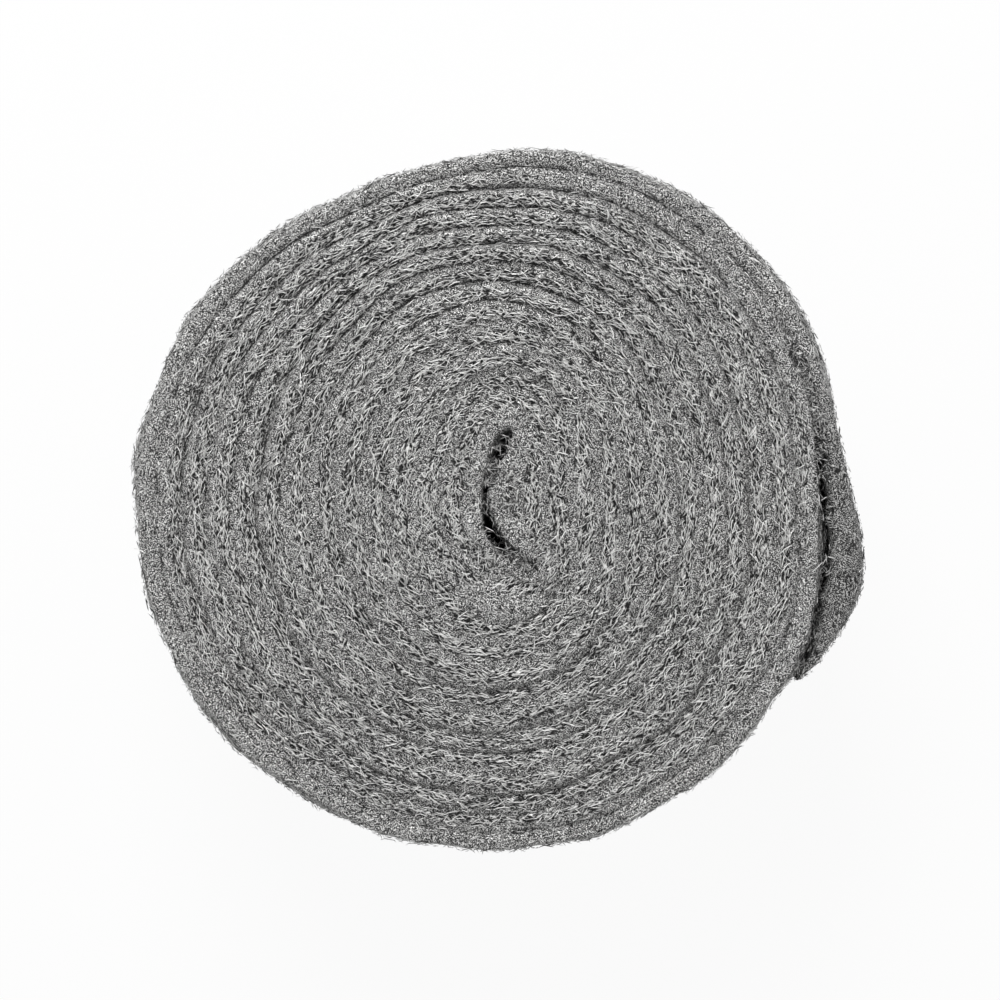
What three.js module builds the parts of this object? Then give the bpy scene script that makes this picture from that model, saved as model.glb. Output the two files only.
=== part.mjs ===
// A roll of steel wool: one long ribbon of wool wound up on itself, standing on its end.
// Millimetres, +Z up along the winding axis. The origin is the middle of the footprint, on the base plane.
// The turns lie tight against each other, so the roll is one solid. Both end faces follow the ribbon's
// edge turn by turn, with a groove where two turns meet. The slit at the core goes right through, and
// the ribbon's outer end stands off the roll as a loose flap.

import * as THREE from "three";

// Ribbon
const ribbonWidth = 80; // the height of the standing roll
const ribbonThickness = 5.25; // the room one turn takes
const innerEndThickness = 3; // the ribbon's torn inner end is thin
const fullTurns = 14;
const startAngle = -60; // degrees, where the inner end lies, seen from above
const endAngle = -31; // degrees, where the loose outer end lies

// Slit at the core, left by the fold that the winding began on
const slitHalfLength = 14;
const slitHalfWidth = 3.6; // how far it gapes near its ends
const slitPinch = 0.3; // half of its width in the middle
const slitAngle = 90; // degrees, the way the slit points
const slitOff = 0.9; // how far its middle lies beside the winding axis
const slitBow = 8.6; // how far its upper end bends to one side
const slitFoot = 10; // how far its lower end turns off to that side
const slitFootFrom = 4; // the lower end turns off between these distances from the middle
const slitFootTo = 17.5;
const slitFootFade = 13; // the thickness of wound ribbon over which the foot dies away
const slitLean = 6; // how far the core has slipped aside at the lower end of the roll
const slitFade = 14; // the thickness of wound ribbon over which the slit's own shape dies away
const roomFromTurn = 0.8; // from here on the slit widens to make room for the ribbon's inner end

// The outer turns were pressed out of round: squeezed on one side, dented behind the loose end, slack below
const pressFromTurn = 7.5;
const squeezeDepth = 4.9;
const squeezeAngle = 114; // degrees
const squeezeSpread = 38; // degrees
const dentDepth = 2.8;
const dentAngle = 9; // degrees
const dentSpread = 20; // degrees
const slackDepth = 2;
const slackAngle = -110; // degrees
const slackSpread = 55; // degrees

// Upper end: the core stands proud, and the outer turns sink towards one side
const coreTurns = 9.2;
const coreProud = 1.6;
const coreStep = 0.5; // the share of a turn over which the edge steps down
const rimSink = 3;
const sinkAngle = 110; // degrees
const edgeWander = 0.4; // rise and fall of the ribbon's edge
const wanderPerTurn = 0.62; // waves in one turn
const grooveDepth = 1.4;
const coreGrooveDepth = 0.6; // the innermost turns are matted together
const crownShare = 0.56; // the share of a turn's thickness that is its flat edge

// Lower end, pressed flat by the bench
const footGrooveDepth = 1;

// Outer wall
const rimRound = 5; // height of the rounding at the upper end
const rimInset = 1.5; // how far the rounding leans in
const footRound = 2.4; // height of the rounding at the lower end
const footInset = 0.7;
const barrelBulge = 0.8;

// Loose outer end
const flapSpan = 57; // degrees
const flapGap = 1.1; // where the flap stands furthest off the roll
const flapWaist = 4;
const flapSwell = 8;
const flapTip = 1.6;
const flapTipGap = 0.9; // the gap stays as it is at this share of the flap, up to the tip
const flapFade = 0.4; // the share of the flap over which its rims turn sharp
const flapDrop = 5; // the flap's upper edge lies lower than the roll's
const flapInset = 0.4; // rounding of the flap's own rims

const stationsPerTurn = 60;

const { degToRad, lerp, smoothstep } = THREE.MathUtils;
const axis = new THREE.Vector2();
const turns = fullTurns + (startAngle - endAngle) / 360;
const lastStation = Math.round(turns * stationsPerTurn);
const flapStations = Math.round((flapSpan / 360) * stationsPerTurn);
const flapRoot = lastStation - flapStations;
const outerGrowth = growthAt(turns + 1);

// The thickness of the full turns inside a seam, which is counted in turns from the inner end.
function woundAt(turn) {
  return ribbonThickness * Math.max(turn - 1, 0);
}

// How far a seam has moved out from the slit.
function growthAt(turn) {
  return innerEndThickness * smoothstep(turn, roomFromTurn, 1) + woundAt(turn);
}

// The ribbon winds clockwise on its way out, seen from above.
function angleAt(turn) {
  return degToRad(startAngle) - 2 * Math.PI * turn;
}

// 1 towards the given angle, falling smoothly to 0 opposite it.
function facing(angle, degrees) {
  return (1 + Math.cos(angle - degToRad(degrees))) / 2;
}

// A point of the seam: an oval round the bent slit near the core, which turns into a circle as it grows.
// The lean is how far the core has slipped aside at the height that the point lies at.
function seamAt(turn, lean = 0) {
  const around = angleAt(turn) - degToRad(slitAngle);
  const growth = growthAt(turn);
  const fade = Math.exp(-woundAt(turn) / slitFade);
  const turnedOff = slitFoot * Math.exp(-woundAt(turn) / slitFootFade);
  const halfWidth = lerp(slitPinch, slitHalfWidth, Math.cos(around) ** 2) * fade;
  const along = lerp(slitHalfLength, outerGrowth, growth / outerGrowth) * Math.cos(around);
  const across = (halfWidth + growth) * Math.sin(around);
  const bow = slitBow * Math.max(Math.tanh(along / slitHalfLength), 0) ** 2;
  const bend = (bow - slitOff) * fade + turnedOff * smoothstep(-along, slitFootFrom, slitFootTo);
  const aside = bend + lean * (1 - woundAt(turn) / woundAt(turns + 1)) ** 2;
  const point = new THREE.Vector2(along, across - aside).rotateAround(axis, degToRad(slitAngle));
  return pushedOut(point, -pressAt(turn, point.angle()));
}

const presses = [
  { depth: squeezeDepth, middle: squeezeAngle, spread: squeezeSpread },
  { depth: dentDepth, middle: dentAngle, spread: dentSpread },
  { depth: slackDepth, middle: slackAngle, spread: slackSpread },
];

// How far a turn is pressed in.
function pressAt(turn, angle) {
  const depths = presses.map(({ depth, middle, spread }) => {
    const away = Math.acos(Math.cos(angle - degToRad(middle))) / degToRad(spread);
    return depth * Math.exp(-away * away);
  });
  return smoothstep(turn, pressFromTurn, turns) * depths.reduce((sum, depth) => sum + depth);
}

function pushedOut(point, distance) {
  return point.clone().setLength(point.length() + distance);
}

// Height of the ribbon's upper edge.
function edgeAt(turn) {
  const step = coreProud * smoothstep(turn, coreTurns - coreStep / 2, coreTurns + coreStep / 2);
  const sink = rimSink * smoothstep(turn, coreTurns, turns);
  const wander = edgeWander * Math.sin(2 * Math.PI * wanderPerTurn * turn);
  const drop = flapDrop * smoothstep(flapShare(turn), 0, 1);
  return ribbonWidth + wander - drop - (step + sink) * facing(angleAt(turn), sinkAngle);
}

// How far along the flap a place lies: below 0 before its root, 1 at its tip.
function flapShare(turn) {
  return (turn * stationsPerTurn - flapRoot) / flapStations;
}

// Thickness of the flap, which is pinched behind its root and swells before its torn end.
const flapSteps = [ribbonThickness, flapWaist, ribbonThickness, flapSwell, flapTip];
const flapProfile = new THREE.SplineCurve(flapSteps.map((thickness, i) => new THREE.Vector2(i, thickness)));

// Inner and outer side of the ribbon in plan, at a station.
function sidesAt(station, lean) {
  const turn = station / stationsPerTurn;
  const inner = seamAt(turn, lean);
  const share = flapShare(turn);
  if (share <= 0) return [inner, seamAt(turn + 1, lean)];
  const lifted = pushedOut(inner, flapGap * Math.sin(Math.PI * Math.min(share, flapTipGap)));
  return [lifted, pushedOut(lifted, flapProfile.getPoint(share).y)];
}

const positions = [];
const triangles = [];

function vertex(point, z) {
  positions.push(point.x, point.y, z);
  return positions.length / 3 - 1;
}

function quad(a, b, c, d) {
  triangles.push(a, b, c, a, c, d);
}

// A groove's corners, at the upper and the lower end. Grooves deepen from the core outwards.
function grooveDown(turn) {
  const depth = lerp(coreGrooveDepth, grooveDepth, smoothstep(turn, 1, coreTurns));
  const top = vertex(seamAt(turn), edgeAt(turn) - depth);
  return [top, vertex(seamAt(turn, slitLean), footGrooveDepth)];
}

// An open side's corners from its upper edge down, leaning in at both ends and slightly barrelled between.
function wallDown(point, top, inset, foot) {
  return [
    vertex(pushedOut(point, -inset), top - grooveDepth),
    vertex(point, top - rimRound),
    vertex(pushedOut(point, barrelBulge), ribbonWidth / 2),
    vertex(point, footRound),
    vertex(pushedOut(point, -foot), footGrooveDepth),
  ];
}

// The two corners of a turn's flat edge, between its sides.
function crown([inner, outer], z) {
  return [1 - crownShare, 1 + crownShare].map((share) => vertex(inner.clone().lerp(outer, share / 2), z));
}

// Every seam as a column of corners: up to the flap's root it only shows as a groove, and from there on
// it is the outside of the roll, first behind the flap, then all the way round, and last on the flap.
const seams = [];
for (let station = 0; station <= lastStation + stationsPerTurn; station++) {
  const turn = station / stationsPerTurn;
  const behind = smoothstep(flapShare(turn), 0, flapFade);
  const onFlap = smoothstep(flapShare(turn - 1), 0, flapFade);
  if (station < flapRoot) {
    seams.push(grooveDown(turn));
  } else {
    const point = onFlap > 0 ? sidesAt(station - stationsPerTurn)[1] : seamAt(turn);
    const inset = lerp(rimInset * behind, flapInset, onFlap);
    seams.push(wallDown(point, edgeAt(turn - 1), inset, lerp(footInset * behind, flapInset, onFlap)));
  }
}

// Each station of the ribbon: its upper and lower corners, from the inner side to the outer one.
const stations = [];
for (let station = 0; station <= lastStation; station++) {
  const sides = sidesAt(station);
  const top = edgeAt(station / stationsPerTurn);
  const onFlap = station > flapRoot;
  const innerSide = onFlap ? wallDown(sides[0], top, -flapInset, -flapInset) : seams[station];
  const outerSide = seams[station + stationsPerTurn];
  stations.push({
    innerSide,
    outerSide,
    upper: [innerSide[0], ...crown(sides, top), outerSide[0]],
    lower: [innerSide.at(-1), ...crown(sidesAt(station, slitLean), 0), outerSide.at(-1)],
  });
}

// Walls between two neighbouring columns, facing out of the roll or into it.
function wall(column, next, facesOut) {
  for (let row = 0; row + 1 < column.length; row++) {
    if (facesOut) quad(column[row], next[row], next[row + 1], column[row + 1]);
    else quad(column[row], column[row + 1], next[row + 1], next[row]);
  }
}

// The ribbon's edges, at the upper and the lower end of the roll.
for (let station = 0; station < lastStation; station++) {
  const { upper, lower } = stations[station];
  const next = stations[station + 1];
  for (let i = 0; i + 1 < upper.length; i++) {
    quad(upper[i], next.upper[i], next.upper[i + 1], upper[i + 1]);
    quad(lower[i], lower[i + 1], next.lower[i + 1], next.lower[i]);
  }
}

// The slit's wall, the flap's inner side, and the outside of the roll.
for (let station = 0; station < stationsPerTurn; station++) wall(seams[station], seams[station + 1], false);
for (let station = flapRoot; station < lastStation; station++) {
  wall(stations[station].innerSide, stations[station + 1].innerSide, false);
}
for (let station = flapRoot; station < lastStation + stationsPerTurn; station++) {
  wall(seams[station], seams[station + 1], true);
}

// Corners of a torn end laid flat: how far each lies from the end's inner side, and how high.
function laidFlat(corners, first) {
  const start = new THREE.Vector2().fromArray(positions, 3 * first);
  return corners.map((corner) => {
    const plan = new THREE.Vector2().fromArray(positions, 3 * corner);
    return new THREE.Vector2(-plan.distanceTo(start), positions[3 * corner + 2]);
  });
}

// The torn ends of the ribbon, each filled as a flat outline.
function endFace({ innerSide, outerSide, upper, lower }, facesBack) {
  const down = [...upper, ...outerSide.slice(1, -1)];
  const back = lower.toReversed();
  const up = innerSide.slice(1, -1).toReversed();
  const ring = [...down, ...back, ...up];
  const outline = [...laidFlat(down, upper[0]), ...laidFlat(back, lower[0]), ...laidFlat(up, upper[0])];
  for (const [a, b, c] of THREE.ShapeUtils.triangulateShape(outline, [])) {
    if (facesBack) triangles.push(ring[a], ring[b], ring[c]);
    else triangles.push(ring[a], ring[c], ring[b]);
  }
}
endFace(stations[0], true);
endFace(stations[lastStation], false);

const geometry = new THREE.BufferGeometry();
geometry.setAttribute("position", new THREE.Float32BufferAttribute(positions, 3));
geometry.setIndex(triangles);
geometry.computeVertexNormals();
geometry.computeBoundingBox();

const steelWool = new THREE.MeshStandardMaterial({ color: 0x82827f, roughness: 0.55, metalness: 0.6 });
const roll = new THREE.Mesh(geometry, steelWool);
roll.name = "wool_roll";
const middle = geometry.boundingBox.getCenter(new THREE.Vector3());
roll.position.set(-middle.x, -middle.y, -geometry.boundingBox.min.z);

const part = new THREE.Group();
part.add(roll);
export default part;
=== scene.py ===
import math

import bmesh
import bpy
import numpy as np
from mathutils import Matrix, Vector


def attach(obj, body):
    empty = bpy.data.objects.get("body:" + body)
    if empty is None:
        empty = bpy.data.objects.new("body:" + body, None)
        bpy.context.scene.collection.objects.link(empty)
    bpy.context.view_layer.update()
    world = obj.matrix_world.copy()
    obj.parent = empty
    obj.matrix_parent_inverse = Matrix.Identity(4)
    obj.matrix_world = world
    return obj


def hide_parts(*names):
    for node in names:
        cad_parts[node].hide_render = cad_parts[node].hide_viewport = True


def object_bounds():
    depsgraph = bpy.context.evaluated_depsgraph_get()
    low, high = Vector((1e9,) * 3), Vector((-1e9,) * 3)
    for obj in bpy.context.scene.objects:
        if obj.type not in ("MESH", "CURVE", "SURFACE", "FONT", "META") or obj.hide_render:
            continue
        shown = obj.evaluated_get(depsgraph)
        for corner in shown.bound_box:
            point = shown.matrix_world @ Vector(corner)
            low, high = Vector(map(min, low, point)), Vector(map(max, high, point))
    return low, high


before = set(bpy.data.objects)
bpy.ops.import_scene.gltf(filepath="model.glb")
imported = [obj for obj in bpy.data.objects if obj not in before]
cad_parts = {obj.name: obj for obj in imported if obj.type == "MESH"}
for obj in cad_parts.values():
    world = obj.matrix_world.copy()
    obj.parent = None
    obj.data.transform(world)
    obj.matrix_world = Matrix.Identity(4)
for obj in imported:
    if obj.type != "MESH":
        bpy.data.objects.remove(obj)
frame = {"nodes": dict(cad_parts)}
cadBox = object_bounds()
scene = bpy.context.scene
print("frame loaded with", ", ".join(frame["nodes"]))

roll = {
    "node": "wool_roll",
    "slot": "steel_wool",
    "axis": (-0.0022, -0.00047),  # where the winding axis stands
    "height": cadBox[1].z,
    "topFrom": 0.06,  # what lies above this height belongs to the upper end
    "greys": {0.0: 0.006, 0.4: 0.025, 0.62: 0.55, 1.0: 1.0},  # from level 0 to level 1
    "tint": (1.005, 1.0, 0.985),  # steel is a hair warmer than grey
}
noiseMiddle = 0.5  # noise strays either way from this
white = (1, 1, 1, 1)


# node helpers, for geometry and shader trees alike
def put(tree, kind, inputs=None, **settings):
    node = tree.nodes.new(kind)
    for key, value in settings.items():
        setattr(node, key, value)
    for key, value in (inputs or {}).items():
        if isinstance(value, bpy.types.NodeSocket):
            tree.links.new(value, node.inputs[key])
        else:
            node.inputs[key].default_value = value
    return node


def calc(tree, operation, *values):  # one Math node
    return put(tree, "ShaderNodeMath", dict(enumerate(values)), operation=operation).outputs[0]


def vec(tree, operation, *values):  # one Vector Math node
    inputs = dict(enumerate(values))
    if operation == "SCALE":
        inputs = {0: values[0], "Scale": values[1]}
    node = put(tree, "ShaderNodeVectorMath", inputs, operation=operation)
    return node.outputs["Value" if operation in ("DOT_PRODUCT", "LENGTH") else "Vector"]


def blended(tree, share, first, second):
    inputs = {0: share, 2: first, 3: second}
    return put(tree, "ShaderNodeMix", inputs, data_type="FLOAT").outputs[0]


def turned(tree, first, second, angle):  # first turned by angle towards second
    kept = vec(tree, "SCALE", first, calc(tree, "COSINE", angle))
    return vec(tree, "ADD", kept, vec(tree, "SCALE", second, calc(tree, "SINE", angle)))


def stretched(tree, value, low, high):  # low to high becomes 0 to 1, smoothly
    inputs = {0: value, "From Min": low, "From Max": high}
    return put(tree, "ShaderNodeMapRange", inputs, interpolation_type="SMOOTHSTEP").outputs[0]


def lessened(tree, value, share, amount):  # value less a share of itself
    kept = calc(tree, "SUBTRACT", 1.0, calc(tree, "MULTIPLY", share, amount))
    return calc(tree, "MULTIPLY", value, kept)


def noiseOf(tree, place, size, crimp=0.0):  # with one finer octave
    inputs = {"Vector": place, "Scale": 1 / size, "Detail": 1.0, "Distortion": crimp}
    return put(tree, "ShaderNodeTexNoise", inputs).outputs[0]


def named(tree, name, kind="FLOAT"):  # a stored attribute
    return put(tree, "GeometryNodeInputNamedAttribute", {"Name": name}, data_type=kind).outputs[0]


def store(tree, geometry, name, value, kind="FLOAT"):
    inputs = {"Geometry": geometry, "Name": name, "Value": value}
    node = put(tree, "GeometryNodeStoreNamedAttribute", inputs, data_type=kind, domain="POINT")
    return node.outputs[0]


def newTree(name, sockets):
    tree = bpy.data.node_groups.new(name, "GeometryNodeTree")
    tree.is_modifier = True
    for label, kind in {"Geometry": "Geometry", **sockets}.items():
        tree.interface.new_socket(label, in_out="INPUT", socket_type="NodeSocket" + kind)
    tree.interface.new_socket("Geometry", in_out="OUTPUT", socket_type="NodeSocketGeometry")
    return tree, tree.nodes.new("NodeGroupInput").outputs


def endTree(tree, geometry, material):
    solid = put(tree, "GeometryNodeRealizeInstances", {"Geometry": geometry}).outputs[0]
    smooth = put(tree, "GeometryNodeSetShadeSmooth", {"Geometry": solid}).outputs[0]
    painted = put(tree, "GeometryNodeSetMaterial", {"Geometry": smooth, "Material": material}).outputs[0]
    put(tree, "NodeGroupOutput", {0: painted})
    return tree


def grown(name, mesh, tree, values):  # runs a tree on a mesh and keeps the result as a plain mesh
    carrier = bpy.data.objects.new(name + "_carrier", mesh)
    scene.collection.objects.link(carrier)
    modifier = carrier.modifiers.new("nodes", "NODES")
    modifier.node_group = tree
    sockets = {s.name: s.identifier for s in tree.interface.items_tree if s.in_out == "INPUT"}
    for label, value in values.items():
        modifier[sockets[label]] = value
    bpy.context.view_layer.update()
    depsgraph = bpy.context.evaluated_depsgraph_get()
    made = bpy.data.meshes.new_from_object(carrier.evaluated_get(depsgraph))
    made.name = name
    carrier.modifiers.remove(modifier)
    bpy.data.objects.remove(carrier)
    piece = bpy.data.objects.new(name, made)
    scene.collection.objects.link(piece)
    made.calc_loop_triangles()
    print(name, "has", len(made.loop_triangles), "triangles")
    return piece


# places on the plan, as rows of X, Y and Z
def roundPlaces(places):  # radius from the winding axis, and degrees around it
    x, y = places[:, 0] - roll["axis"][0], places[:, 1] - roll["axis"][1]
    return np.hypot(x, y), np.degrees(np.arctan2(y, x))


def easedStep(values, low, high):  # 0 below low, 1 above high
    share = np.clip((values - low) / (high - low), 0, 1)
    return share * share * (3 - 2 * share)


def evenAngles(count):  # a full turn, split evenly
    return [math.radians(360 / count * k) for k in range(count)]


# the slit at the core; the ribbon is wound round it in ovals that share its ends
slit = {
    "angle": 90,  # degrees, the way it points
    "halfLength": 0.014,
    "darkFrom": 0.007,  # depth from which its walls get painted shade
    "reach": 0.03,  # whatever is that deep and this near the axis counts as in it
    "leastLength": 1e-9,  # at its ends the winding has no way to run
}


def ovalAt(places):  # the plan in half slit lengths, turned so that the slit lies along X
    plan = (places[:, 0] - roll["axis"][0]) + 1j * (places[:, 1] - roll["axis"][1])
    return plan / np.exp(1j * math.radians(slit["angle"])) / slit["halfLength"]


def ovalRoot(oval):
    return np.sqrt(oval - 1) * np.sqrt(oval + 1)


def windingAt(places):  # the way the ribbon runs
    way = 1j * ovalRoot(ovalAt(places)) * np.exp(1j * math.radians(slit["angle"]))
    way /= np.maximum(np.abs(way), slit["leastLength"])
    return np.column_stack([way.real, way.imag, np.zeros(len(places))])


def outwardAt(places):  # grows from oval to oval
    oval = ovalAt(places)
    return np.abs(oval + ovalRoot(oval))


# painted shade in the grooves between the turns shows plainest on the side where the outer turns sink
grooves = {
    "depth": 0.00015,  # a point this far in from its neighbours is in a groove
    "plainAngle": 100, "plainSpread": 55,  # degrees
    "plainFrom": 0.034, "plainRise": 0.008,
    "stepAt": 0.0455, "stepReach": 0.0045,  # where the core steps down to the outer turns
    "rimFrom": 0.055, "rimRise": 0.008,  # and all round the outermost turns
    "faint": 0.3, "plain": 0.5, "step": 0.3, "rim": 0.08,
    "breakSize": 0.006,  # metres over which a groove comes and goes
    "breakSpan": (0.72, 0.95),
    "plainWeight": 0.65,
    "sharp": 4.0,
}


def groovePlainness(places):
    radius, around = roundPlaces(places)
    off = (around - grooves["plainAngle"] + 180) % 360 - 180
    sector = np.exp(-(off / grooves["plainSpread"]) ** 2)
    outer = easedStep(radius, grooves["plainFrom"], grooves["plainFrom"] + grooves["plainRise"])
    step = np.exp(-((radius - grooves["stepAt"]) / grooves["stepReach"]) ** 2)
    rim = easedStep(radius, grooves["rimFrom"], grooves["rimFrom"] + grooves["rimRise"])
    plain = sector * (grooves["plain"] * outer + grooves["step"] * step)
    return np.clip(grooves["faint"] + plain + grooves["rim"] * rim, 0, 1)


def brokenGroove(tree, groove, plain, place):  # a groove's painted shade comes and goes along its turn
    shown = calc(tree, "MULTIPLY", plain, grooves["plainWeight"])
    shown = calc(tree, "ADD", shown, noiseOf(tree, place, grooves["breakSize"]))
    shown = stretched(tree, shown, *grooves["breakSpan"])
    return calc(tree, "MULTIPLY", calc(tree, "POWER", groove, grooves["sharp"]), shown)


# the wool is tousled in ragged bands and smooth between them
tousle = {
    "span": (0.2, 0.6),
    "raggedSize": 0.004,
    "smoothFrom": 0.061, "smoothRise": 0.006,  # the outermost turns are smooth
    "coreReach": 0.018,  # near the core the fibres lie every way
    "coreFluff": 0.3,
    "calm": 0.5, "calmShare": 0.85,  # level and contrast of smooth wool
}


def coreShare(places):
    return np.exp(-(roundPlaces(places)[0] / tousle["coreReach"]) ** 2)


def tousledShare(places):
    radius = roundPlaces(places)[0]
    return 1 - easedStep(radius, tousle["smoothFrom"], tousle["smoothFrom"] + tousle["smoothRise"])


def fluffAt(tree, fluff, place):  # 1 where the wool is tousled, with ragged edges
    ragged = calc(tree, "SUBTRACT", noiseOf(tree, place, tousle["raggedSize"]), noiseMiddle)
    return stretched(tree, calc(tree, "ADD", fluff, ragged), *tousle["span"])


def calmed(tree, value, fluff):  # value, drawn towards the calm level where the wool is smooth
    share = calc(tree, "MULTIPLY", fluff, 1 - tousle["calmShare"])
    share = calc(tree, "ADD", share, tousle["calmShare"])
    off = calc(tree, "SUBTRACT", value, tousle["calm"])
    return calc(tree, "ADD", calc(tree, "MULTIPLY", off, share), tousle["calm"])


# the loose outer end: degrees where it begins, is whole and ends; radius of the gap behind it
flap = {
    "root": 26, "whole": 10, "tip": -33,
    "gapNear": 0.068, "gapRise": 0.0032, "riseFrom": 14, "riseOver": 46,
    "fluff": 0.2,
}


def gapRadius(around):  # middle of the gap
    return flap["gapNear"] + flap["gapRise"] * easedStep(flap["riseFrom"] - around, 0, flap["riseOver"])


def flapShare(places):
    radius, around = roundPlaces(places)
    along = easedStep(-around, -flap["root"], -flap["whole"]) * (around > flap["tip"])
    return along * (radius > gapRadius(around))


# a pale, smooth bow below the slit, with painted light standing in for the ribbon's inner end folded back
fold = {
    "middle": (0.0044, -0.0086),  # from the winding axis
    "radius": 0.0096, "half": 0.0013,
    "from": 140, "to": 285, "fade": 15,  # degrees
    "pale": 0.6,
}


def foldShare(places):
    x, y = ((places[:, i] - roll["axis"][i] - fold["middle"][i]) for i in range(2))
    around = np.degrees(np.arctan2(y, x)) % 360
    ends = easedStep(around, fold["from"] - fold["fade"], fold["from"] + fold["fade"])
    ends *= 1 - easedStep(around, fold["to"] - fold["fade"], fold["to"] + fold["fade"])
    off = (np.hypot(x, y) - fold["radius"]) / fold["half"]
    return np.exp(-off ** 2) * ends * (places[:, 2] > roll["topFrom"])


def duskAt(places):  # painted shade above 0 on the loose end, and painted light below 0 on the pale bow
    return flapShare(places) - fold["pale"] * foldShare(places)


# finishes
def newMaterial(name, finish):
    material = bpy.data.materials.new(name)
    material.use_nodes = True
    tree = material.node_tree
    shader = tree.nodes["Principled BSDF"]
    shader.inputs["Metallic"].default_value = finish["metal"]
    shader.inputs["Roughness"].default_value = finish["roughness"]
    return material, tree, shader


def steelGrey(tree, level):
    node = put(tree, "ShaderNodeValToRGB", {0: level})
    elements = node.color_ramp.elements
    places = sorted(roll["greys"])
    for place in places[1:-1]:  # a new ramp has both ends
        elements.new(place)
    for element, place in zip(elements, places):
        element.color = (*(roll["greys"][place] * part for part in roll["tint"]), 1)
    return node.outputs["Color"]


feltedWool = {
    "streak": 0.00042,  # width of the finest streaks
    "streakSpan": (0.42, 0.6),
    "curl": 0.0016,  # curly lines lie in patches among the streaks
    "lines": 7.0,
    "lineSpan": (0.08, 0.36),
    "patch": 0.0014,
    "patchSpan": (0.46, 0.54),
    "crimp": 0.5,
    "along": 0.35,  # how fast it changes along the winding, for about 1 across it
    "across": 0.93,  # what the way across has beside that
    "grain": 0.00022,
    "grainSpan": (0.38, 0.61),
    "clump": 0.0012,  # painted shade in the hollows between tufts
    "clumpSpan": (0.5, 0.66),
    "hollowShade": 0.5,
    "grooveShade": 0.75,
    "duskDark": 0.2,
    "roughness": 0.5,
    "metal": 0.2,
    "bumpDepth": 0.0002,
}


def alongWinding(tree, place):  # drawn out along the turns, and level on the sides
    spot = vec(tree, "SUBTRACT", place, (*roll["axis"], 0.0))
    height = put(tree, "ShaderNodeSeparateXYZ", {0: spot}).outputs["Z"]
    plan = vec(tree, "MULTIPLY", spot, (1.0, 1.0, 0.0))
    outward = calc(tree, "MULTIPLY", vec(tree, "LENGTH", plan), feltedWool["across"])
    rise = put(tree, "ShaderNodeCombineXYZ", {"Z": calc(tree, "ADD", outward, height)}).outputs[0]
    return vec(tree, "ADD", vec(tree, "SCALE", plan, feltedWool["along"]), rise)


def fibreLines(tree, place):  # 1 on a curly line, 0 between lines
    noise = noiseOf(tree, place, feltedWool["curl"], crimp=feltedWool["crimp"])
    count = calc(tree, "MULTIPLY", noise, feltedWool["lines"])
    off = calc(tree, "PINGPONG", count, 0.5)  # from the nearest line, half a step at most
    return calc(tree, "SUBTRACT", 1.0, stretched(tree, off, *feltedWool["lineSpan"]))


def feltLevel(tree, place):  # streaks, with patches of curly lines among them
    streaks = stretched(tree, noiseOf(tree, place, feltedWool["streak"]), *feltedWool["streakSpan"])
    patches = stretched(tree, noiseOf(tree, place, feltedWool["patch"]), *feltedWool["patchSpan"])
    return blended(tree, patches, streaks, fibreLines(tree, place))


def makeFeltedWool():  # the felt below the loose fibres
    material, tree, shader = newMaterial("felted_wool", feltedWool)
    place = put(tree, "ShaderNodeTexCoord").outputs["Object"]
    marks = {}
    for name in ("groove", "plain", "fluff", "dusk"):
        marks[name] = put(tree, "ShaderNodeAttribute", attribute_name=name).outputs["Fac"]
    fluff = fluffAt(tree, marks["fluff"], place)
    grain = stretched(tree, noiseOf(tree, place, feltedWool["grain"]), *feltedWool["grainSpan"])
    streaked = feltLevel(tree, alongWinding(tree, place))
    level = blended(tree, fluff, calmed(tree, grain, fluff), streaked)
    clump = stretched(tree, noiseOf(tree, place, feltedWool["clump"]), *feltedWool["clumpSpan"])
    groove = brokenGroove(tree, marks["groove"], marks["plain"], place)
    # painted shade in the hollows between tufts
    lit = lessened(tree, level, calc(tree, "MULTIPLY", clump, fluff), feltedWool["hollowShade"])
    # painted shade in the grooves and deep in the slit
    lit = lessened(tree, lit, groove, feltedWool["grooveShade"])
    # painted shade on the loose end, painted light on the pale bow
    lit = lessened(tree, lit, marks["dusk"], feltedWool["duskDark"])
    tree.links.new(steelGrey(tree, lit), shader.inputs["Base Color"])
    inputs = {"Height": level, "Strength": 1.0, "Distance": feltedWool["bumpDepth"]}
    bump = put(tree, "ShaderNodeBump", inputs).outputs[0]
    tree.links.new(bump, shader.inputs["Normal"])
    return material


looseWool = {
    "roughness": 0.35,
    "metal": 0.3,
    "glint": 0.00035,  # painted glints: length of the bright and dull stretches along a fibre
    "glintSpan": (0.4, 0.62),
    "dull": 0.2,
}


def makeLooseWool():  # drawn steel fibres, each with its own brightness
    material, tree, shader = newMaterial("steel_fibre", looseWool)
    shade = put(tree, "ShaderNodeAttribute", attribute_name="shade").outputs["Fac"]
    place = put(tree, "ShaderNodeTexCoord").outputs["Object"]
    # painted glints: stretches of each fibre stay bright and the rest is dulled
    dull = stretched(tree, noiseOf(tree, place, looseWool["glint"]), *looseWool["glintSpan"])
    shade = lessened(tree, shade, dull, looseWool["dull"])
    tree.links.new(steelGrey(tree, shade), shader.inputs["Base Color"])
    return material


# the wound body, grown from the frame's own solid
body = {
    "name": "wool_body",
    "weld": 1e-6,
    "joinBend": 1.2, "joinSkew": 1.6,  # radians, at most, where two triangles become a quad
    "tallEdge": 0.012, "tallCuts": 7,  # longer upright edges are cut
    "topCuts": 1,  # and so are all edges of the upper end
    "levels": 1,
    "detail": 2.0,  # of the lumps and tufts
    "sizes": {
        "Lump Height": 0.0011, "Lump Size": 0.006,
        "Tuft Height": 0.0005, "Tuft Size": 0.0016,
        "Wander": 0.0014, "Wander Size": 0.017,  # how far the turns stray
        "Groove Fill": 0.0006,  # wool lies in the grooves
        "Base Lift": 0.0005, "Base Reach": 0.004,  # room for the fibres that the roll stands on
    },
}


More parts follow.
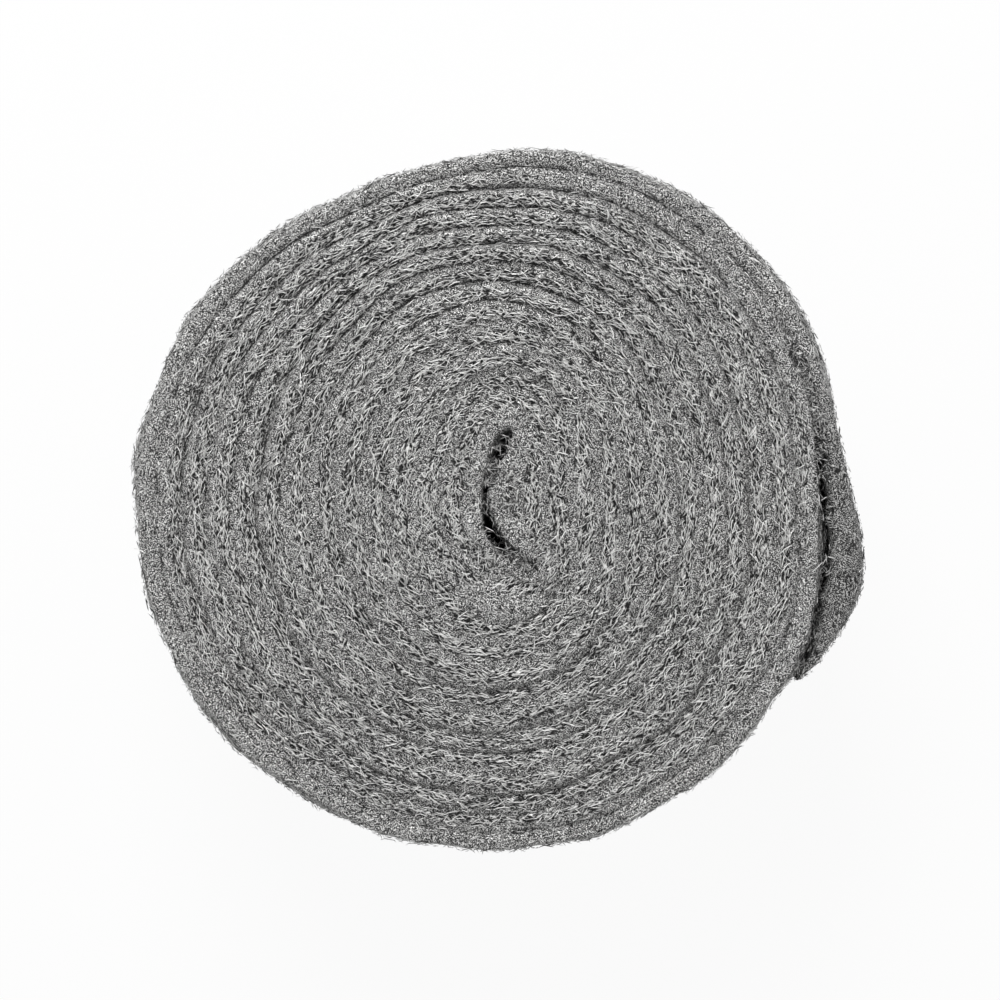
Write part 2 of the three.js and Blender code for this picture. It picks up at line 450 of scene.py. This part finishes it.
def mark(mesh, name, values, kind="FLOAT"):  # one value for each point of a mesh
    field = "vector" if kind == "FLOAT_VECTOR" else "value"
    flat = np.asarray(values, np.float32).ravel()
    mesh.attributes.new(name, kind, "POINT").data.foreach_set(field, flat)


def grooveVerts(work):  # numbers of the points that lie in a groove of either end
    dips = set()
    for vert in work.verts:
        around = [e.other_vert(vert).co.z for e in vert.link_edges]
        dip = sum(around) / len(around) - vert.co.z
        upper, lower = vert.co.z > roll["topFrom"], vert.co.z < roll["height"] - roll["topFrom"]
        if (upper and dip > grooves["depth"]) or (lower and dip < -grooves["depth"]):
            dips.add(vert.index)
    return dips


def markGrooves(work):  # grooves, and the tousled wool just outside each of them
    places = np.array([v.co for v in work.verts])
    plain, outward, loose = groovePlainness(places), outwardAt(places), flapShare(places)
    radius, tousled = roundPlaces(places)[0], tousledShare(places)
    core = coreShare(places) * (1 - foldShare(places))
    groove = work.verts.layers.float.new("groove")
    fluff = work.verts.layers.float.new("fluff")
    clear = work.verts.layers.float.new("plain")
    work.verts.index_update()
    dips = grooveVerts(work)
    for vert in work.verts:
        here = vert.index
        beside = [e.other_vert(vert).index for e in vert.link_edges]
        inner = any(n in dips and outward[n] < outward[here] for n in beside) and here not in dips
        onFlap = flap["fluff"] * loose[here] if vert.co.z > roll["topFrom"] else 0.0
        vert[fluff] = max(inner * tousled[here], onFlap, tousle["coreFluff"] * core[here])
        # deep in the slit, points are marked as groove and so get the grooves' painted shade
        inSlit = radius[here] < slit["reach"] and vert.co.z < roll["height"] - slit["darkFrom"]
        vert[groove] = 1.0 if inSlit or here in dips else 0.0
        vert[clear] = 1.0 if inSlit else plain[here]


def makeBlank():  # the solid, welded, in quads, with its grooves, loose end and winding marked
    mesh = bpy.data.meshes.new("roll_blank")
    work = bmesh.new()
    work.from_mesh(frame["nodes"][roll["node"]].data)
    bmesh.ops.remove_doubles(work, verts=work.verts, dist=body["weld"])
    bmesh.ops.join_triangles(work, faces=work.faces, angle_face_threshold=body["joinBend"],
                             angle_shape_threshold=body["joinSkew"])
    tall = [e for e in work.edges if abs(e.verts[0].co.z - e.verts[1].co.z) > body["tallEdge"]]
    bmesh.ops.subdivide_edges(work, edges=tall, cuts=body["tallCuts"], use_grid_fill=True)
    markGrooves(work)
    top = [e for e in work.edges if min(v.co.z for v in e.verts) > roll["topFrom"]]
    bmesh.ops.subdivide_edges(work, edges=top, cuts=body["topCuts"], use_grid_fill=True)
    work.to_mesh(mesh)
    work.free()
    places = np.array([v.co for v in mesh.vertices])
    mark(mesh, "wind", windingAt(places), "FLOAT_VECTOR")
    mark(mesh, "dusk", duskAt(places))
    mark(mesh, "mixed", coreShare(places))
    print("blank has", len(mesh.polygons), "faces")
    return mesh


def bodyTree():
    sockets = {"Levels": "Int", **dict.fromkeys(body["sizes"], "Float"), "Material": "Material"}
    tree, given = newTree("woolBody", sockets)
    inputs = {"Mesh": given["Geometry"], "Level": given["Levels"]}
    fine = put(tree, "GeometryNodeSubdivisionSurface", inputs).outputs[0]
    place = put(tree, "GeometryNodeInputPosition").outputs[0]
    normal = put(tree, "GeometryNodeInputNormal").outputs[0]

    def sizedNoise(label, detail):
        scale = calc(tree, "DIVIDE", 1.0, given[label + " Size"])
        return put(tree, "ShaderNodeTexNoise", {"Vector": place, "Scale": scale, "Detail": detail}).outputs

    # lumps and tufts stand out from the surface, but not near the base
    swells = []
    for label in ("Lump", "Tuft"):
        off = calc(tree, "SUBTRACT", sizedNoise(label, body["detail"])[0], noiseMiddle)
        swells.append(calc(tree, "MULTIPLY", off, given[label + " Height"]))
    height = put(tree, "ShaderNodeSeparateXYZ", {0: place}).outputs["Z"]
    free = put(tree, "ShaderNodeMapRange", {0: height, "From Max": given["Base Reach"]}).outputs[0]
    offset = vec(tree, "SCALE", normal, calc(tree, "MULTIPLY", calc(tree, "ADD", *swells), free))

    # whole turns stray sideways, by up to Wander either way
    stray = vec(tree, "SUBTRACT", sizedNoise("Wander", 0.0)["Color"], (noiseMiddle,) * 3)
    stray = vec(tree, "MULTIPLY", stray, (2.0, 2.0, 0.0))
    offset = vec(tree, "ADD", offset, vec(tree, "SCALE", stray, given["Wander"]))

    # the base and the upper grooves are lifted
    lift = calc(tree, "MULTIPLY", calc(tree, "SUBTRACT", 1.0, free), given["Base Lift"])
    upper = calc(tree, "GREATER_THAN", height, roll["topFrom"])
    filled = calc(tree, "MULTIPLY", named(tree, "groove"), upper)
    lift = calc(tree, "ADD", lift, calc(tree, "MULTIPLY", filled, given["Groove Fill"]))
    raised = vec(tree, "ADD", offset, put(tree, "ShaderNodeCombineXYZ", {"Z": lift}).outputs[0])
    moved = put(tree, "GeometryNodeSetPosition", {"Geometry": fine, "Offset": raised}).outputs[0]
    return endTree(tree, moved, given["Material"])


def makeBody(material):
    values = {"Levels": body["levels"], **body["sizes"], "Material": material}
    return grown(body["name"], makeBlank(), bodyTree(), values)


# loose fibres, in layers; metres and degrees, and bends in radians to the metre
# a layer lies on faces whose normals have a Z within facing, and that are higher than from
onTop = {"facing": (0.4, 1.1), "from": roll["topFrom"]}
fibreLayers = [
    # dark fibres that stand in for the shade between fibres, as painted shade
    {"name": "top_deep_wool", "rings": 1, "count": 36000, **onTop,
     "length": 0.0014, "width": 0.00019, "turn": 50, "tilt": 25, "slope": 6, "bend": 700,
     "lift": (0.0, 0.0003), "shade": (0.0, 0.15), "fluffy": 0.95, "seed": 11},
    {"name": "top_felt", "rings": 1, "count": 34000, **onTop,
     "length": 0.0008, "width": 0.0002, "turn": 80, "tilt": 30, "slope": 8, "bend": 900,
     "lift": (-0.0001, 0.0002), "shade": (0.15, 0.85), "fluffy": 0.1, "seed": 23},
    {"name": "top_nap", "rings": 1, "count": 60000, **onTop,
     "length": 0.0012, "width": 0.00016, "turn": 55, "tilt": 30, "slope": 10, "bend": 900,
     "lift": (0.0, 0.0004), "shade": (0.15, 0.95), "fluffy": 0.85, "seed": 29},
    # the wool and curls are lightest: steel fibres, brightened to white as painted glints
    {"name": "top_wool", "rings": 2, "count": 25000, **onTop,
     "length": 0.0017, "width": 0.00017, "turn": 55, "tilt": 40, "slope": 12, "bend": 700,
     "lift": (0.0002, 0.0006), "shade": (0.8, 1.1), "fluffy": 0.92, "seed": 31},
    {"name": "top_curls", "rings": 3, "count": 13000, **onTop,
     "length": 0.0024, "width": 0.00017, "turn": 60, "tilt": 40, "slope": 12, "bend": 500,
     "lift": (0.0003, 0.0008), "shade": (1.1, 1.3), "fluffy": 0.95, "seed": 37},
    {"name": "rim_wool", "rings": 1, "count": 9000, "facing": (-0.2, 0.8), "from": 0.055,
     "length": 0.0014, "width": 0.00014, "turn": 80, "tilt": 60, "slope": 35, "bend": 900,
     "lift": (0.0, 0.0006), "shade": (0.1, 0.9), "fluffy": 0.0, "seed": 41},
    {"name": "side_wool", "rings": 2, "count": 6500, "facing": (-0.5, 0.5), "from": 0.0022,
     "length": 0.003, "width": 0.00018, "turn": 70, "tilt": 45, "slope": 18, "bend": 600,
     "lift": (-0.0001, 0.0005), "shade": (0.0, 1.0), "fluffy": 0.0, "seed": 47},
    {"name": "base_wool", "rings": 2, "count": 1200, "facing": (-1.1, -0.5), "from": 0.0,
     "length": 0.004, "width": 0.0002, "turn": 60, "tilt": 4, "slope": 2, "bend": 500,
     "lift": (-0.0002, 0.0001), "shade": (0.0, 0.8), "fluffy": 0.0, "seed": 53},
]
fibreRule = {
    "sides": 3,
    "lengths": (0.55, 1.45), "widths": (0.6, 1.4),  # least and most, in a layer's own measure
    "sway": 1.6,  # how far a fibre snakes, for its length
    "bendOff": 0.5,  # so that a fibre drawn straight isn't divided by zero
    "mixedTurn": 80, "shortCore": 0.3,  # near the core they lie every way and are shorter
    "thinGroove": 0.3, "grooveFibreShade": 0.5,  # in the grooves they are fewer, and darker with painted shade
    "darkDusk": 0.2, "shortFlap": 0.4,  # and on the loose end shorter and darker with painted shade; on the pale bow lighter with painted light
    "floor": 0.0002,  # no fibre goes lower
    "draws": 100,  # random draws that each seed has room for
}


def fibreBlank(name, rings):  # a unit fibre along X, drawn out to a point at both ends
    sides = fibreRule["sides"]
    tips = [(-0.5, 0, 0), (0.5, 0, 0)]
    stations = [(ring + 0.5) / rings - 0.5 for ring in range(rings)]
    corners = [(x, math.cos(a) / 2, math.sin(a) / 2) for x in stations for a in evenAngles(sides)]
    first = len(tips)
    last = first + sides * (rings - 1)
    faces = []
    for k in range(sides):
        after = (k + 1) % sides
        faces.append((0, first + after, first + k))
        faces.append((1, last + k, last + after))
        for here in range(first, last, sides):
            faces.append((here + k, here + after, here + sides + after, here + sides + k))
    mesh = bpy.data.meshes.new(name)
    mesh.from_pydata(tips + corners, [], faces)
    fibre = bpy.data.objects.new(name, mesh)
    scene.collection.objects.link(fibre)
    return fibre


def fibreTree():
    sizes = ("Per Square Metre", "Facing From", "Facing To", "Lowest", "Length", "Width", "Turn", "Tilt",
             "Slope", "Bend", "Lift From", "Lift To", "Shade From", "Shade To", "Fluffy", "Floor")
    sockets = {"Fibre": "Object", **dict.fromkeys(sizes, "Float"), "Seed": "Int", "Material": "Material"}
    tree, given = newTree("looseFibres", sockets)
    draws = iter(range(fibreRule["draws"]))

    def chance(low, high):  # a fresh even draw for each fibre
        first = calc(tree, "MULTIPLY", given["Seed"], float(fibreRule["draws"]))
        inputs = {2: low, 3: high, "Seed": calc(tree, "ADD", first, float(next(draws)))}
        return put(tree, "FunctionNodeRandomValue", inputs, data_type="FLOAT").outputs[1]

    def eitherWay(most):  # up to most, to either side
        return calc(tree, "MULTIPLY", chance(-1.0, 1.0), most)

    # where the fibres lie
    place = put(tree, "GeometryNodeInputPosition").outputs[0]
    normal = put(tree, "GeometryNodeInputNormal").outputs[0]
    facing = put(tree, "ShaderNodeSeparateXYZ", {0: normal}).outputs["Z"]
    height = put(tree, "ShaderNodeSeparateXYZ", {0: place}).outputs["Z"]
    chosen = calc(tree, "GREATER_THAN", height, given["Lowest"])
    chosen = calc(tree, "MULTIPLY", chosen, calc(tree, "GREATER_THAN", facing, given["Facing From"]))
    chosen = calc(tree, "MULTIPLY", chosen, calc(tree, "LESS_THAN", facing, given["Facing To"]))
    groove = brokenGroove(tree, named(tree, "groove"), named(tree, "plain"), place)
    fluff = fluffAt(tree, named(tree, "fluff"), place)
    density = calc(tree, "MULTIPLY", given["Per Square Metre"], chosen)
    density = lessened(tree, density, calc(tree, "SUBTRACT", 1.0, fluff), given["Fluffy"])
    density = lessened(tree, density, groove, fibreRule["thinGroove"])
    inputs = {"Mesh": given["Geometry"], "Density": density, "Seed": given["Seed"]}
    scatter = put(tree, "GeometryNodeDistributePointsOnFaces", inputs, distribute_method="RANDOM")
    points, up = scatter.outputs["Points"], scatter.outputs["Normal"]

    # the way each one runs, mostly along the winding, and the way it bends
    wind = named(tree, "wind", "FLOAT_VECTOR")
    flat = vec(tree, "SUBTRACT", wind, vec(tree, "SCALE", up, vec(tree, "DOT_PRODUCT", wind, up)))
    ahead = vec(tree, "NORMALIZE", flat)
    aside = vec(tree, "CROSS_PRODUCT", up, ahead)
    spread = chance(-1.0, 1.0)
    spread = calc(tree, "MULTIPLY", spread, calc(tree, "ABSOLUTE", spread))
    turn = calc(tree, "MULTIPLY", spread, given["Turn"])
    widest = calc(tree, "MULTIPLY", named(tree, "mixed"), math.radians(fibreRule["mixedTurn"]))
    run = turned(tree, ahead, aside, calc(tree, "ADD", turn, eitherWay(widest)))
    side = vec(tree, "CROSS_PRODUCT", up, run)
    leaning = turned(tree, run, up, eitherWay(given["Slope"]))
    above = vec(tree, "CROSS_PRODUCT", leaning, side)
    towards = turned(tree, side, above, eitherWay(given["Tilt"]))
    bend = calc(tree, "ADD", eitherWay(given["Bend"]), fibreRule["bendOff"])
    lift = chance(given["Lift From"], given["Lift To"])
    anchor = vec(tree, "ADD", place, vec(tree, "SCALE", up, lift))

    # its size and its shade
    span = calc(tree, "MULTIPLY", given["Length"], chance(*fibreRule["lengths"]))
    onFlap = calc(tree, "MAXIMUM", named(tree, "dusk"), 0.0)
    span = lessened(tree, span, onFlap, fibreRule["shortFlap"])
    span = lessened(tree, span, named(tree, "mixed"), fibreRule["shortCore"])
    wide = calc(tree, "MULTIPLY", given["Width"], chance(*fibreRule["widths"]))
    shade = calmed(tree, chance(given["Shade From"], given["Shade To"]), fluff)
    # painted shade on fibres in the grooves and deep in the slit
    shade = lessened(tree, shade, groove, fibreRule["grooveFibreShade"])
    # painted shade on the loose end, painted light on the pale bow
    shade = lessened(tree, shade, named(tree, "dusk"), fibreRule["darkDusk"])
    sway = chance(-fibreRule["sway"], fibreRule["sway"])
    ways = {"anchor": anchor, "ahead": leaning, "towards": towards}
    for name, value in ways.items():
        points = store(tree, points, name, value, "FLOAT_VECTOR")
    amounts = {"bend": bend, "span": span, "wide": wide, "sway": sway}
    for name, value in {**amounts, "shade": shade}.items():
        points = store(tree, points, name, value)

    # unit fibres, laid down and then bent into arcs
    inputs = {"Geometry": points, "Position": named(tree, "anchor", "FLOAT_VECTOR")}
    lifted = put(tree, "GeometryNodeSetPosition", inputs).outputs[0]
    blank = put(tree, "GeometryNodeObjectInfo", {"Object": given["Fibre"]}).outputs["Geometry"]
    laid = put(tree, "GeometryNodeInstanceOnPoints", {"Points": lifted, "Instance": blank}).outputs[0]
    loose = put(tree, "GeometryNodeRealizeInstances", {"Geometry": laid}).outputs[0]
    start, ahead, towards = (named(tree, name, "FLOAT_VECTOR") for name in ways)
    bend, span, wide, sway = (named(tree, name) for name in amounts)
    own = put(tree, "ShaderNodeSeparateXYZ", {0: vec(tree, "SUBTRACT", place, start)}).outputs
    angle = calc(tree, "MULTIPLY", calc(tree, "MULTIPLY", own["X"], span), bend)
    forth = calc(tree, "DIVIDE", calc(tree, "SINE", angle), bend)
    across = calc(tree, "DIVIDE", calc(tree, "SUBTRACT", 1.0, calc(tree, "COSINE", angle)), bend)
    swaying = calc(tree, "MULTIPLY", sway, span)
    snake = calc(tree, "MULTIPLY", calc(tree, "POWER", own["X"], 3.0), swaying)
    across = calc(tree, "ADD", across, snake)
    inner = turned(tree, towards, vec(tree, "SCALE", ahead, -1.0), angle)
    outer = vec(tree, "CROSS_PRODUCT", ahead, towards)
    inward = calc(tree, "MULTIPLY", own["Y"], wide)
    outward = calc(tree, "MULTIPLY", own["Z"], wide)
    bent = start
    for way, amount in ((ahead, forth), (towards, across), (inner, inward), (outer, outward)):
        bent = vec(tree, "ADD", bent, vec(tree, "SCALE", way, amount))
    lowest = put(tree, "ShaderNodeCombineXYZ", {"X": -1.0, "Y": -1.0, "Z": given["Floor"]}).outputs[0]
    bent = vec(tree, "MAXIMUM", bent, lowest)  # a metre off in X and Y, so it only holds Z
    curled = put(tree, "GeometryNodeSetPosition", {"Geometry": loose, "Position": bent}).outputs[0]
    for name in (*ways, *amounts, "wind", "groove", "plain", "fluff", "dusk", "mixed"):
        curled = put(tree, "GeometryNodeRemoveAttribute", {"Geometry": curled, "Name": name}).outputs[0]
    return endTree(tree, curled, given["Material"])


def layerArea(mesh, layer):  # area of the faces that a layer lies on
    low, high = layer["facing"]
    return sum(p.area for p in mesh.polygons if low < p.normal.z < high and p.center.z > layer["from"])


def makeFibres(layer, ground, tree, material):
    fibre = fibreBlank(layer["name"] + "_blank", layer["rings"])
    values = {
        "Fibre": fibre, "Per Square Metre": layer["count"] / layerArea(ground, layer),
        "Lowest": layer["from"], "Length": layer["length"], "Width": layer["width"],
        "Bend": float(layer["bend"]), "Fluffy": layer["fluffy"], "Floor": fibreRule["floor"],
        "Seed": layer["seed"], "Material": material,
    }
    for label in ("Turn", "Tilt", "Slope"):
        values[label] = math.radians(layer[label.lower()])
    for label in ("Facing", "Lift", "Shade"):
        values[label + " From"], values[label + " To"] = layer[label.lower()]
    piece = grown(layer["name"], ground, tree, values)
    bpy.data.objects.remove(fibre)
    return piece


# wool that lies across the slit and the gap behind the loose end, in small round tufts
slitWool = {
    "name": "slit_wool", "rings": 2, "count": 3000, **onTop,
    "length": 0.0037, "width": 0.00018, "turn": 90, "tilt": 40, "slope": 12, "bend": 600,
    "lift": (-0.0006, 0.0004), "shade": (0.0, 0.9), "fluffy": 1.0, "seed": 59,
    "under": 0.0009,  # below the roll's top
    "tufts": [  # where from the winding axis, how far it reaches, how full it is
        ((0.0026, 0.011), 0.003, 0.22),
        ((0.0009, 0.0058), 0.0028, 0.6),
        ((-0.0004, -0.0006), 0.0024, 0.25),
        ((0.001, -0.0066), 0.003, 0.26),
        ((0.0046, -0.0112), 0.0026, 0.3),
        ((0.0074, -0.0124), 0.0024, 0.38),
    ],
}
gapWool = {
    "name": "gap_wool", "rings": 2, "count": 5000, **onTop,
    "length": 0.0028, "width": 0.0002, "turn": 90, "tilt": 40, "slope": 10, "bend": 600,
    "lift": (-0.0005, 0.0003), "shade": (0.1, 1.0), "fluffy": 1.0, "seed": 61,
    "under": 0.0032, "sink": 0.00006,  # below the roll's top at the root, and further for each degree
    "start": 27, "end": -29, "step": 2.5, "closedTo": 9, "closedFrom": -27,  # degrees
    "reach": 0.0021, "ajar": 0.2,
}
tuftCorners = 6


def slitTufts():
    height = roll["height"] - slitWool["under"]
    return [((*place, height), reach, share) for place, reach, share in slitWool["tufts"]]


def gapTufts():
    tufts = []
    for angle in np.arange(gapWool["start"], gapWool["end"], -gapWool["step"]):
        far, a = gapRadius(angle), math.radians(angle)
        height = roll["height"] - gapWool["under"] - gapWool["sink"] * (gapWool["start"] - angle)
        gaping = gapWool["closedFrom"] < angle < gapWool["closedTo"]
        share = gapWool["ajar"] if gaping else 1.0
        tufts.append(((far * math.cos(a), far * math.sin(a), height), gapWool["reach"], share))
    return tufts


def tuftGround(name, tufts):  # a small flat hexagon for each tuft
    corners, faces, full = [], [], []
    axisX, axisY = roll["axis"]
    for (x, y, z), reach, share in tufts:
        faces.append(range(len(corners), len(corners) + tuftCorners))
        for a in evenAngles(tuftCorners):
            corners.append((axisX + x + reach * math.cos(a), axisY + y + reach * math.sin(a), z))
        full += [share] * tuftCorners
    mesh = bpy.data.meshes.new(name + "_ground")
    mesh.from_pydata(corners, [], faces)
    mark(mesh, "wind", windingAt(np.array(corners)), "FLOAT_VECTOR")
    mark(mesh, "fluff", full)
    mark(mesh, "mixed", np.ones(len(full)))
    for label in ("groove", "plain", "dusk"):
        mark(mesh, label, np.zeros(len(full)))
    return mesh


# camera straight above, as in the photograph
shot = {
    "lens": 90,
    "sensor": 36,
    "frameWidth": 0.2,  # metres across the picture at the roll's upper end
    "aside": (0.0024, 0.0004),  # the picture's middle from the winding axis
}


def makeCamera():
    data = bpy.data.cameras.new("camera")
    data.lens = shot["lens"]
    data.sensor_width = shot["sensor"]
    camera = bpy.data.objects.new("camera", data)
    away = shot["frameWidth"] * shot["lens"] / shot["sensor"]
    x, y = (roll["axis"][i] + shot["aside"][i] for i in range(2))
    camera.location = (x, y, roll["height"] + away)
    scene.collection.objects.link(camera)
    scene.camera = camera


# studio
studio = {
    "sky": 0.4,
    "key": {"place": (-0.12, 0.5, 0.6), "size": 0.34, "power": 4.05},
    "floorSize": 4,
    "floorGrey": 0.95,
    "floorGlow": 0.93,  # share of the floor's white that shadows don't reach
    "floorFinish": {"roughness": 0.8, "metal": 0.0},
}


def directRay(tree):  # 1 where the floor or the sky is looked at rather than lights the roll
    rays = put(tree, "ShaderNodeLightPath").outputs
    seen = calc(tree, "ADD", rays["Is Camera Ray"], rays["Is Glossy Ray"])
    return calc(tree, "ADD", seen, rays["Is Transmission Ray"])


def makeSky():
    world = bpy.data.worlds.new("studio")
    world.use_nodes = True
    tree = world.node_tree
    sky = tree.nodes["Background"]
    sky.inputs["Color"].default_value = white
    level = calc(tree, "MULTIPLY", directRay(tree), 1 - studio["sky"])
    tree.links.new(calc(tree, "ADD", level, studio["sky"]), sky.inputs["Strength"])
    scene.world = world


def makeLamp(name, place, size, power):
    data = bpy.data.lights.new(name, "AREA")
    data.size = size
    data.energy = power
    lamp = bpy.data.objects.new(name, data)
    lamp.location = place
    lamp.rotation_euler = (-Vector(place)).to_track_quat("-Z", "Y").to_euler()
    scene.collection.objects.link(lamp)


def makeFloor():
    half = studio["floorSize"] / 2
    mesh = bpy.data.meshes.new("floor")
    corners = [(-half, -half, 0), (half, -half, 0), (half, half, 0), (-half, half, 0)]
    mesh.from_pydata(corners, [], [(0, 1, 2, 3)])
    floor = bpy.data.objects.new("floor", mesh)
    material, tree, shader = newMaterial("floor_white", studio["floorFinish"])
    grey = studio["floorGrey"]
    shader.inputs["Base Color"].default_value = (grey, grey, grey, 1)
    seen = calc(tree, "MULTIPLY", directRay(tree), studio["floorGlow"])
    glow = put(tree, "ShaderNodeEmission", {"Color": white, "Strength": 1.0}).outputs[0]
    mix = put(tree, "ShaderNodeMixShader", {0: seen, 1: shader.outputs[0], 2: glow}).outputs[0]
    tree.links.new(mix, tree.nodes["Material Output"].inputs["Surface"])
    mesh.materials.append(material)
    scene.collection.objects.link(floor)


scene.view_settings.view_transform = "Standard"
makeCamera()
makeSky()
makeLamp("key", **studio["key"])
makeFloor()
print("camera and studio set")

woolBody = makeBody(makeFeltedWool())
steelFibre = makeLooseWool()
layTree = fibreTree()
pieces = [woolBody] + [makeFibres(layer, woolBody.data, layTree, steelFibre) for layer in fibreLayers]
for layer, tufts in ((slitWool, slitTufts()), (gapWool, gapTufts())):
    pieces.append(makeFibres(layer, tuftGround(layer["name"], tufts), layTree, steelFibre))
for piece in pieces:
    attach(piece, "root")
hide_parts(roll["node"])
print("roll dressed in", len(pieces), "pieces")

bpy.context.view_layer.update()
